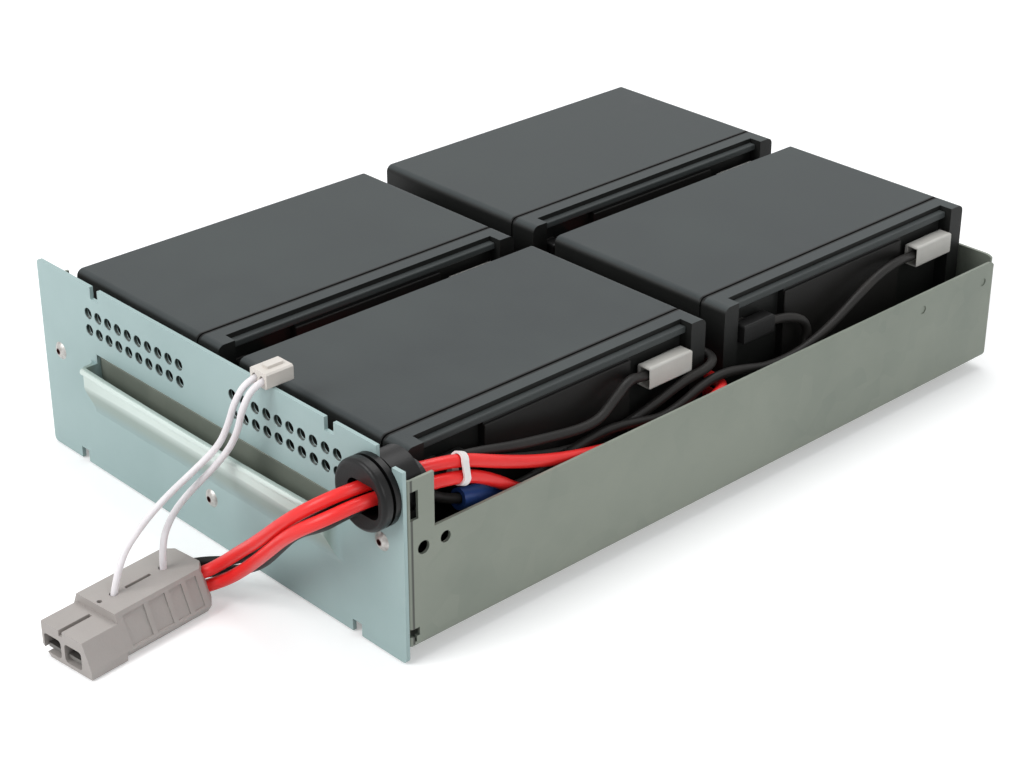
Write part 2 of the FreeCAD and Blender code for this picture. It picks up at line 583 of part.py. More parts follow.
def makeConnector():
    slope = (bodyWideHalf - bodyTopHalf) / (bodyHeight - bodyWideZ)
    body = profileSolid([(-bodyUnderHalf, 0), (bodyUnderHalf, 0), (bodyWideHalf, bodyWideZ),
                         (bodyTopHalf, bodyHeight), (-bodyTopHalf, bodyHeight), (-bodyWideHalf, bodyWideZ)],
                        noseLength, connectorLength)
    rearCorners = [edge for edge in body.Edges if edge.CenterOfMass.y > connectorLength - 0.1
                   and abs(edge.CenterOfMass.x) > bodyTopHalf]
    body = body.makeChamfer(3.4, rearCorners)
    noseRightTop = bodyWideHalf - slope * (noseTop - bodyWideZ)
    nose = profileSolid([(noseLeft + 4, 0), (bodyWideHalf, 0), (bodyWideHalf, bodyWideZ),
                         (noseRightTop, noseTop), (noseLeft, noseTop), (noseLeft, 4)], 0, noseLength)
    shape = body.fuse(nose).removeSplitter()
    for centre in mouthCentres:
        mouth = roundedBlock(centre - mouthHalf, centre + mouthHalf, -1, mouthDepth, mouthLow, mouthHigh,
                             acrossY, 1.5)
        shape = shape.cut(mouth)
    shape = shape.cut(block(-0.9, 0.9, -1, noseLength - 2.4, noseTop - 2.2, noseTop + 1))
    shape = shape.cut(block(-slotHalf, slotHalf, slotStart, slotStart + slotLength, bodyHeight - slotDepth,
                            bodyHeight + 1))
    shape = shape.cut(rod(Vec(0, gripRibs[0], bodyHeight - 2), upZ, 1.0, 3))
    for number in range(len(gripRibs) - 1):
        start = gripRibs[number] + gripRib / 2
        end = gripRibs[number + 1] - gripRib / 2
        for side in (-1, 1):
            panel = profileSolid([(side * (bodyWideHalf - gripDepth), bodyWideZ + 0.8),
                                  (side * (bodyWideHalf + 2), bodyWideZ + 0.8),
                                  (side * (bodyTopHalf + 2), bodyHeight - 1.6),
                                  (side * (bodyTopHalf - gripDepth + 0.8), bodyHeight - 1.6)], start, end)
            shape = shape.cut(panel)
    for centre in (-poleSpacing, poleSpacing):
        shape = shape.cut(block(centre - leadWellInner, centre + leadWellOuter, connectorLength - leadWellDepth,
                                connectorLength + 1, leadWellLow, leadWellHigh))
    for spot in senseHolesV:
        shape = shape.cut(rod(Vec(0, spot, bodyHeight - senseSeat), upZ, senseDiameter / 2 + 0.3, 4))
    return connectorPlace(shape)


contactWidth = 7.4
contactThick = 1.6
contactReach = 1.2


def makeContacts():
    """Two flat contact blades. Each is seated in the end of its mouth."""
    blades = []
    for centre in mouthCentres:
        blade = block(centre - contactWidth / 2, centre + contactWidth / 2, contactReach, mouthDepth,
                      mouthLow + 1.4, mouthLow + 1.4 + contactThick)
        blades.append(connectorPlace(blade))
    return blades


# ================= sense plug =================
plugWidth = 9.4
plugDepth = 12.0
plugHeight = 6.2
plugCentreX = 36.3
plugFrontY = -2.4
senseLevel = 84.6


def makeSensePlug():
    x0 = plugCentreX - plugWidth / 2
    body = block(x0, x0 + plugWidth, plugFrontY, plugFrontY + plugDepth, plateHeight, plateHeight + plugHeight)
    body = body.makeChamfer(0.6, edgesAlong(body, acrossY))
    latch = block(plugCentreX - 1.5, plugCentreX + 1.5, plugFrontY + 3, plugFrontY + plugDepth - 2,
                  plateHeight + plugHeight, plateHeight + plugHeight + 1)
    body = body.fuse(latch)
    for points in (senseWireRear, senseWireFront):
        wireX = points[0][0]
        body = body.cut(rod(Vec(wireX, plugFrontY - 1, senseLevel), acrossY,
                            senseDiameter / 2 + 0.15, points[0][1] - plugFrontY + 1))
        body = body.cut(block(wireX - 1.1, wireX + 1.1, plugFrontY + plugDepth - 5,
                              plugFrontY + plugDepth + 1, senseLevel - 1.1, senseLevel + 1.1))
    return body


def makePlugContacts():
    pins = []
    for points in (senseWireRear, senseWireFront):
        wireX = points[0][0]
        rear = plugFrontY + plugDepth
        pins.append(block(wireX - 1.1, wireX + 1.1, rear - 5, rear - 0.6, senseLevel - 1.1, senseLevel - 0.5))
    return pins


# ================= ties and sleeve on the leads =================
tieWall = 0.8
tieClearance = 0.05
tieWidth = 3.6
tieHead = 4.8
sleeveRadius = 4.0
sleeveLength = 20.0


def runFrame(points, index, length):
    """The middle stretch of one run of a route: where it starts and its heading."""
    start = Vec(*points[index])
    end = Vec(*points[index + 1])
    heading = (end - start).normalize()
    return (start + end) * 0.5 - heading * (length / 2), heading


def makeSleeve(lead):
    base, heading = runFrame(blackLeadB, 12, sleeveLength)
    return rod(base, heading, sleeveRadius, sleeveLength).cut(lead)


def makeTie(routes):
    """A tie around one lead, or around two side by side, with its head on top."""
    hug = leadDiameter / 2 + tieClearance
    base, heading = runFrame(routes[0][0], routes[0][1], tieWidth)
    outer = rod(base, heading, hug + tieWall, tieWidth)
    inner = rod(base - heading, heading, hug, tieWidth + 2)
    for points, index in routes[1:]:
        other, otherHeading = runFrame(points, index, tieWidth)
        other = other - heading * (other - base).dot(heading)
        across = other - base
        side = across.cross(heading).normalize()
        for shapeRadius, length, outside in ((hug + tieWall, tieWidth, True),
                                             (hug, tieWidth + 2, False)):
            first = base if outside else base - heading
            ring = [first - side * shapeRadius, first + side * shapeRadius,
                    first + side * shapeRadius + across, first - side * shapeRadius + across]
            web = Part.Face(Part.makePolygon(ring + ring[:1])).extrude(heading * length)
            end = rod(first + across, heading, shapeRadius, length)
            if outside:
                outer = outer.fuse([web, end])
            else:
                inner = inner.fuse([web, end])
    half = tieHead / 2
    head = block(-half, half, -half, half, -half, half)
    up = (upZ - heading * heading.dot(upZ)).normalize()
    head.translate(base + heading * (tieWidth / 2) + up * (hug + tieWall + half * 0.6))
    return outer.fuse(head).cut(inner)


def main():
    os.makedirs("parts", exist_ok=True)
    save("tray", makeTray())
    save("front_plate", makeFrontPlate())
    save("plate_rivets", [makeRivet(x, z) for x, z in rivetSpots])
    save("cable_bushing", makeBushing())
    batteries = {
        "front_right_battery": (rightColumnX, frontRowY), "rear_right_battery": (rightColumnX, rearRowY),
        "front_left_battery": (leftColumnX, frontRowY), "rear_left_battery": (leftColumnX, rearRowY)}
    rearShrouds = []
    frontShrouds = []
    pads = []
    padInset = 14.0
    for name, (originX, originY) in batteries.items():
        makeBattery(name, originX, originY)
        rearShrouds.append(makeShroud(originX, originY, rearShroud, True))
        frontShrouds.append(makeShroud(originX, originY, frontShroud, False))
        pads.append(block(originX + padInset, originX + batteryTall - padInset, originY + padInset,
                          originY + batteryLength - padInset, floorTop, batteryFloor))
    save("adhesive_pads", pads)
    save("rear_receptacles", rearShrouds)
    save("front_receptacles", frontShrouds)
    connector = makeConnector()
    save("power_connector", connector)
    save("power_contacts", makeContacts())
    makeTube("red_lead_a", redLeadA, leadDiameter, connector)
    makeTube("red_lead_b", redLeadB, leadDiameter, connector)
    makeTube("black_lead_a", blackLeadA, leadDiameter, connector)
    blackB = makeTube("black_lead_b", blackLeadB, leadDiameter, connector)
    makeTube("link_lead_a", linkLeadA, leadDiameter)
    makeTube("link_lead_b", linkLeadB, leadDiameter)
    makeTube("sense_wire_rear", senseWireRear, senseDiameter, connector)
    makeTube("sense_wire_front", senseWireFront, senseDiameter, connector)
    save("sense_plug", makeSensePlug())
    save("sense_plug_contacts", makePlugContacts())
    save("fuse_sleeve", makeSleeve(blackB))
    save("white_cable_tie", makeTie([(redLeadA, 21), (redLeadB, 21)]))
    save("black_cable_tie", makeTie([(blackLeadA, 4)]))


main()
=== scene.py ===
import math

import bmesh
import bpy
from mathutils import Matrix, Vector


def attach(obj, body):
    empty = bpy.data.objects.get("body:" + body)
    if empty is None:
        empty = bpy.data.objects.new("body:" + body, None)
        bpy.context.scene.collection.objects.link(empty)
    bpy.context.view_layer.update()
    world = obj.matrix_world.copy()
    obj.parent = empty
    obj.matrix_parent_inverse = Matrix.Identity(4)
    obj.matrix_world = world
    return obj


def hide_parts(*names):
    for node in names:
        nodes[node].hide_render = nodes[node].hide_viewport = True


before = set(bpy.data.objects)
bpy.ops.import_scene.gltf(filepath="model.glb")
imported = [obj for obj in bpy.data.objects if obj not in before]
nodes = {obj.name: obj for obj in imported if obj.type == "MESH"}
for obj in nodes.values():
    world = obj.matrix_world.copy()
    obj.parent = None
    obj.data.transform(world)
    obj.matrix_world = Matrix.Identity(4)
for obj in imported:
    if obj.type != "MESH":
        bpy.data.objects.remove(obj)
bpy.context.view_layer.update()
bpy.context.scene.view_settings.view_transform = "Standard"

# where the camera stands in metres, and its turns in degrees
view = {"spot": (0.5962, -0.5701, 0.4409), "turn": 46.73, "drop": 27.60, "roll": 0.10, "lens": 77.66,
        "sensor": 36.0}


def addCamera():
    data = bpy.data.cameras.new("camera")
    data.lens = view["lens"]
    data.sensor_width = view["sensor"]
    camera = bpy.data.objects.new("camera", data)
    bpy.context.scene.collection.objects.link(camera)
    turn = Matrix.Rotation(math.radians(view["turn"]), 4, "Z")
    tilt = Matrix.Rotation(math.radians(90 - view["drop"]), 4, "X")
    roll = Matrix.Rotation(math.radians(view["roll"]), 4, "Z")
    camera.matrix_world = Matrix.Translation(view["spot"]) @ turn @ tilt @ roll
    bpy.context.scene.camera = camera


addCamera()
print("camera placed")


# screen colour, 0 to 255, to the linear colour that a socket takes
def rgb(red, green, blue):
    channels = []
    for value in (red, green, blue):
        share = value / 255
        channels.append(share / 12.92 if share <= 0.04045 else ((share + 0.055) / 1.055) ** 2.4)
    return (*channels, 1.0)


# an input may be a plain value or another node's socket, which is linked
def addNode(tree, kind, inputs=None, **settings):
    node = tree.nodes.new(kind)
    for key, value in settings.items():
        setattr(node, key, value)
    for key, value in (inputs or {}).items():
        if isinstance(value, bpy.types.NodeSocket):
            tree.links.new(value, node.inputs[key])
        else:
            node.inputs[key].default_value = value
    return node


def noise(tree, place, scale, detail=3.0, roughness=0.55, stretch=None):
    if stretch:
        place = addNode(tree, "ShaderNodeMapping", {"Vector": place, "Scale": stretch}).outputs["Vector"]
    node = addNode(tree, "ShaderNodeTexNoise", {"Vector": place, "Scale": scale, "Detail": detail,
                                                "Roughness": roughness})
    return node.outputs["Fac"]


def remap(tree, value, low, high, newLow, newHigh):
    node = addNode(tree, "ShaderNodeMapRange", {"Value": value, "From Min": low, "From Max": high,
                                                "To Min": newLow, "To Max": newHigh})
    return node.outputs["Result"]


# 0 below the edge and 1 above it, over a short run
def above(tree, value, edge, run):
    return remap(tree, value, edge, edge + run, 0.0, 1.0)


def below(tree, value, edge, run):
    return remap(tree, value, edge, edge + run, 1.0, 0.0)


def sumNode(tree, operation, first, second=0.0):
    return addNode(tree, "ShaderNodeMath", {0: first, 1: second}, operation=operation).outputs[0]


def blend(tree, share, first, second):
    return addNode(tree, "ShaderNodeMix", {0: share, 6: first, 7: second}, data_type="RGBA").outputs[2]


def bump(tree, height, strength, distance):
    return addNode(tree, "ShaderNodeBump", {"Height": height, "Strength": strength,
                                            "Distance": distance}).outputs["Normal"]


def newMaterial(name):
    material = bpy.data.materials.new(name)
    material.use_nodes = True
    tree = material.node_tree
    shader = tree.nodes["Principled BSDF"]
    place = addNode(tree, "ShaderNodeTexCoord").outputs["Object"]
    return material, tree, shader, place


def joinShader(tree, shader, tone, roughness, normal):
    tree.links.new(tone, shader.inputs["Base Color"])
    tree.links.new(roughness, shader.inputs["Roughness"])
    tree.links.new(normal, shader.inputs["Normal"])


def dress(node, material):
    slots = nodes[node].data.materials
    slots.clear()
    slots.append(material)


# galvanised tray: cloudy zinc with faint crystals, and painted shadow in the joint behind the plate
zinc = {"base": rgb(133, 139, 128), "dark": rgb(121, 128, 118), "light": rgb(145, 150, 139),
        "jointShadow": rgb(62, 63, 60), "jointAt": -0.1589, "jointRun": 0.0005, "jointFrom": 0.1104, "wallRun": 0.0002,
        "spangle": 95.0, "spangleShare": 0.3, "cloud": 14.0, "cloudRange": (0.35, 0.65),
        "roll": 420.0, "rollStretch": (1.0, 0.05, 1.0), "rollStrength": 0.12, "rollDepth": 0.0004,
        "metal": 0.35, "roughness": (0.5, 0.58)}


def makeZinc():
    material, tree, shader, place = newMaterial("galvanised_sheet")
    cells = addNode(tree, "ShaderNodeTexVoronoi", {"Vector": place, "Scale": zinc["spangle"]})
    crystal = addNode(tree, "ShaderNodeSeparateColor", {"Color": cells.outputs["Color"]}).outputs[0]
    cloud = noise(tree, place, zinc["cloud"], 4.0)
    rolled = noise(tree, place, zinc["roll"], 2.0, 0.5, zinc["rollStretch"])
    tone = blend(tree, remap(tree, cloud, *zinc["cloudRange"], 0.0, 1.0), zinc["dark"], zinc["base"])
    tone = blend(tree, remap(tree, crystal, 0.0, 1.0, 0.0, zinc["spangleShare"]), tone, zinc["light"])
    spot = addNode(tree, "ShaderNodeSeparateXYZ", {"Vector": place}).outputs
    # painted shadow: the tray's bend beside the plate's right edge is darkened
    behindPlate = above(tree, spot["Y"], zinc["jointAt"], zinc["jointRun"])
    fromWall = below(tree, spot["X"], zinc["jointFrom"], zinc["wallRun"])
    tone = blend(tree, sumNode(tree, "MAXIMUM", behindPlate, fromWall), zinc["jointShadow"], tone)
    shader.inputs["Metallic"].default_value = zinc["metal"]
    joinShader(tree, shader, tone, remap(tree, crystal, 0.0, 1.0, *zinc["roughness"]),
               bump(tree, rolled, zinc["rollStrength"], zinc["rollDepth"]))
    return material


dress("tray", makeZinc())

# painted front plate: the vents give low, high, left and right; the reaches are depths before the face; the hole
# colour is painted shade on the vent walls, and the handle bands are painted shade and a painted highlight
paint = {"base": rgb(160, 182, 181), "dull": rgb(143, 165, 164), "hole": rgb(46, 58, 54),
         "face": -0.1625, "sheet": 0.0014, "holeAt": 0.0002, "holeRun": 0.0002, "edgeRun": 0.0001,
         "vents": ((0.0595, 0.0722, -0.0790, -0.0135), (0.0595, 0.0722, 0.0135, 0.0790)),
         "flankShade": rgb(148, 163, 155), "flankShadeReach": (0.0008, 0.0036),
         "crownHighlight": rgb(206, 218, 212), "crownHighlightReach": (0.0052, 0.0080),
         "cloud": 9.0, "cloudRange": (0.3, 0.7), "grain": 900.0, "grainStrength": 0.15, "grainDepth": 0.0002,
         "metal": 0.1, "roughness": (0.50, 0.37)}


def makePaint():
    material, tree, shader, place = newMaterial("plate_paint")
    cloud = noise(tree, place, paint["cloud"], 5.0)
    grain = noise(tree, place, paint["grain"], 2.0)
    tone = blend(tree, remap(tree, cloud, *paint["cloudRange"], 0.0, 1.0), paint["dull"], paint["base"])
    spot = addNode(tree, "ShaderNodeSeparateXYZ", {"Vector": place}).outputs
    run = paint["edgeRun"]
    for low, high, left, right in paint["vents"]:  # the walls of the vent holes carry painted shade
        ventWallShade = above(tree, spot["Y"], paint["face"] + paint["holeAt"], paint["holeRun"])
        for share in (above(tree, spot["Z"], low, run), below(tree, spot["Z"], high, run),
                      above(tree, spot["X"], left, run), below(tree, spot["X"], right, run),
                      below(tree, spot["Y"], paint["face"] + paint["sheet"], run)):
            ventWallShade = sumNode(tree, "MULTIPLY", ventWallShade, share)
        tone = blend(tree, ventWallShade, tone, paint["hole"])
    for band in ("flankShade", "crownHighlight"):  # painted shade on the drawn handle's flank and a painted highlight on its crown
        near, far = paint[band + "Reach"]
        share = remap(tree, spot["Y"], paint["face"] - near, paint["face"] - far, 0.0, 1.0)
        tone = blend(tree, share, tone, paint[band])
    shader.inputs["Metallic"].default_value = paint["metal"]
    joinShader(tree, shader, tone, remap(tree, cloud, *paint["cloudRange"], *paint["roughness"]),
               bump(tree, grain, paint["grainStrength"], paint["grainDepth"]))
    return material


dress("front_plate", makePaint())

# moulded plastics: two close colours in soft patches over a fine grain
moulding = {"wearRange": (0.35, 0.7), "hazeRange": (0.3, 0.7), "smoother": 0.06, "rougher": 0.08,
            "grainDepth": 0.0002}


def makePlastic(name, base, worn, roughness, grain=1400.0, depth=0.2, cloud=22.0, metal=0.0, shine=0.5):
    material, tree, shader, place = newMaterial(name)
    haze = noise(tree, place, cloud, 5.0, 0.6)
    fine = noise(tree, place, grain, 2.0)
    tone = blend(tree, remap(tree, haze, *moulding["wearRange"], 0.0, 1.0), base, worn)
    shader.inputs["Metallic"].default_value = metal
    shader.inputs["Specular IOR Level"].default_value = shine
    rough = remap(tree, haze, *moulding["hazeRange"], roughness - moulding["smoother"],
                  roughness + moulding["rougher"])
    joinShader(tree, shader, tone, rough, bump(tree, fine, depth, moulding["grainDepth"]))
    return material


plastics = {
    "cover": makePlastic("battery_cover", rgb(22, 21, 20), rgb(28, 27, 26), 0.5, shine=0.2),
    "ridge": makePlastic("lid_ridge", rgb(54, 58, 58), rgb(64, 68, 68), 0.5, shine=0.2),
    "bushing": makePlastic("bushing_black", rgb(12, 12, 12), rgb(18, 18, 19), 0.36, shine=0.24),
    "connector": makePlastic("connector_grey", rgb(158, 152, 148), rgb(168, 162, 158), 0.5, 1100.0, 0.35),
    "shroud": makePlastic("receptacle_clear", rgb(186, 184, 178), rgb(204, 202, 196), 0.34, 700.0, 0.3),
    "darkShroud": makePlastic("receptacle_black", rgb(18, 18, 18), rgb(26, 26, 26), 0.45, 700.0, 0.3, shine=0.2),
    "plug": makePlastic("plug_white", rgb(206, 200, 192), rgb(218, 212, 206), 0.45),
    "tieWhite": makePlastic("tie_white", rgb(226, 222, 220), rgb(236, 232, 230), 0.4),
    "tieBlack": makePlastic("tie_black", rgb(16, 16, 16), rgb(24, 24, 24), 0.42, shine=0.3),
    "blue": makePlastic("sleeve_blue", rgb(38, 66, 128), rgb(50, 82, 146), 0.36),
    "foam": makePlastic("pad_foam", rgb(48, 48, 48), rgb(60, 60, 60), 0.9, 600.0, 0.8),
    "tin": makePlastic("contact_tin", rgb(104, 102, 99), rgb(124, 121, 117), 0.4, 600.0, 0.1, 60.0, 0.8)}

# battery mouldings: grey tops painted lighter and upright faces painted darker for light from above, with painted
# shade on the lid below its top and along the seams
battery = {"top": rgb(53, 58, 59), "topWorn": rgb(64, 69, 69), "wall": rgb(26, 27, 26),
           "channelShade": rgb(20, 19, 18), "topLevel": 0.0732, "shade": 0.0022, "shadeRun": 0.0006,
           "seam": rgb(12, 12, 12), "seams": (0.0819, -0.0250), "seamHalf": 0.0011, "seamRun": 0.0003,
           "haze": 20.0, "wearRange": (0.35, 0.68), "hazeRange": (0.3, 0.7), "levelRange": (0.45, 0.8),
           "grain": 1500.0, "grainStrength": 0.2, "grainDepth": 0.0002,
           "roughness": (0.41, 0.54), "shine": 0.2}


def makeBattery(name, shaded):
    material, tree, shader, place = newMaterial(name)
    spot = addNode(tree, "ShaderNodeSeparateXYZ", {"Vector": place}).outputs
    haze = noise(tree, place, battery["haze"], 5.0, 0.62)
    fine = noise(tree, place, battery["grain"], 2.0)
    tone = blend(tree, remap(tree, haze, *battery["wearRange"], 0.0, 1.0), battery["top"], battery["topWorn"])
    # painted shade on the lid below the level of the battery tops
    if shaded:
        low = battery["topLevel"] - battery["shade"]
        depth = above(tree, spot["Z"], low - battery["shadeRun"], battery["shadeRun"])
        tone = blend(tree, depth, battery["channelShade"], tone)
    # painted shade in the seam grooves between case and lid
    for seam in battery["seams"]:
        away = sumNode(tree, "ABSOLUTE", sumNode(tree, "SUBTRACT", spot["X"], seam))
        clear = above(tree, away, battery["seamHalf"], battery["seamRun"])
        tone = blend(tree, clear, battery["seam"], tone)
    normal = addNode(tree, "ShaderNodeNewGeometry").outputs["True Normal"]
    up = addNode(tree, "ShaderNodeSeparateXYZ", {"Vector": normal}).outputs["Z"]
    litShare = remap(tree, up, *battery["levelRange"], 0.0, 1.0)
    tone = blend(tree, litShare, battery["wall"], tone)  # painted shade: upright faces darker than the tops
    shader.inputs["Specular IOR Level"].default_value = battery["shine"]
    joinShader(tree, shader, tone, remap(tree, haze, *battery["hazeRange"], *battery["roughness"]),
               bump(tree, fine, battery["grainStrength"], battery["grainDepth"]))
    return material


plastics["case"] = makeBattery("battery_case", False)
plastics["lid"] = makeBattery("battery_lid", True)

# blind rivets: bright heads with a rusty mandrel hole
rivet = {"spots": ((-0.0987, 0.0450), (-0.0010, 0.0190), (0.0987, 0.0450)), "hole": 0.0011, "holeRun": 0.0004,
         "bright": rgb(190, 188, 184), "dull": rgb(150, 146, 142), "rust": rgb(88, 46, 42),
         "grime": 420.0, "grimeRange": (0.4, 0.7), "grimeStrength": 0.2, "grimeDepth": 0.0002,
         "metal": 0.6, "roughness": 0.38}


def makeRivet():
    material, tree, shader, place = newMaterial("rivet_metal")
    grime = noise(tree, place, rivet["grime"], 4.0)
    tone = blend(tree, remap(tree, grime, *rivet["grimeRange"], 0.0, 1.0), rivet["bright"], rivet["dull"])
    flat = addNode(tree, "ShaderNodeVectorMath", {0: place, 1: (1.0, 0.0, 1.0)}, operation="MULTIPLY").outputs[0]
    for x, z in rivet["spots"]:
        away = addNode(tree, "ShaderNodeVectorMath", {0: flat, 1: (x, 0.0, z)}, operation="DISTANCE")
        clear = above(tree, away.outputs["Value"], rivet["hole"], rivet["holeRun"])
        tone = blend(tree, clear, rivet["rust"], tone)
    tree.links.new(tone, shader.inputs["Base Color"])
    shader.inputs["Metallic"].default_value = rivet["metal"]
    shader.inputs["Roughness"].default_value = rivet["roughness"]
    tree.links.new(bump(tree, grime, rivet["grimeStrength"], rivet["grimeDepth"]), shader.inputs["Normal"])
    return material


plastics["rivet"] = makeRivet()

sides = ("front_right", "rear_right", "front_left", "rear_left")
finishOf = {"cable_bushing": "bushing", "power_connector": "connector", "power_contacts": "tin",
            "rear_receptacles": "shroud", "front_receptacles": "darkShroud", "sense_plug": "plug",
            "sense_plug_contacts": "tin", "fuse_sleeve": "blue", "adhesive_pads": "foam", "plate_rivets": "rivet"}
for side in sides:
    finishOf[side + "_battery_case"] = "case"
    finishOf[side + "_battery_lid"] = "lid"
    finishOf[side + "_battery_terminals"] = "tin"
for node, finish in finishOf.items():
    dress(node, plastics[finish])
print("finishes made")

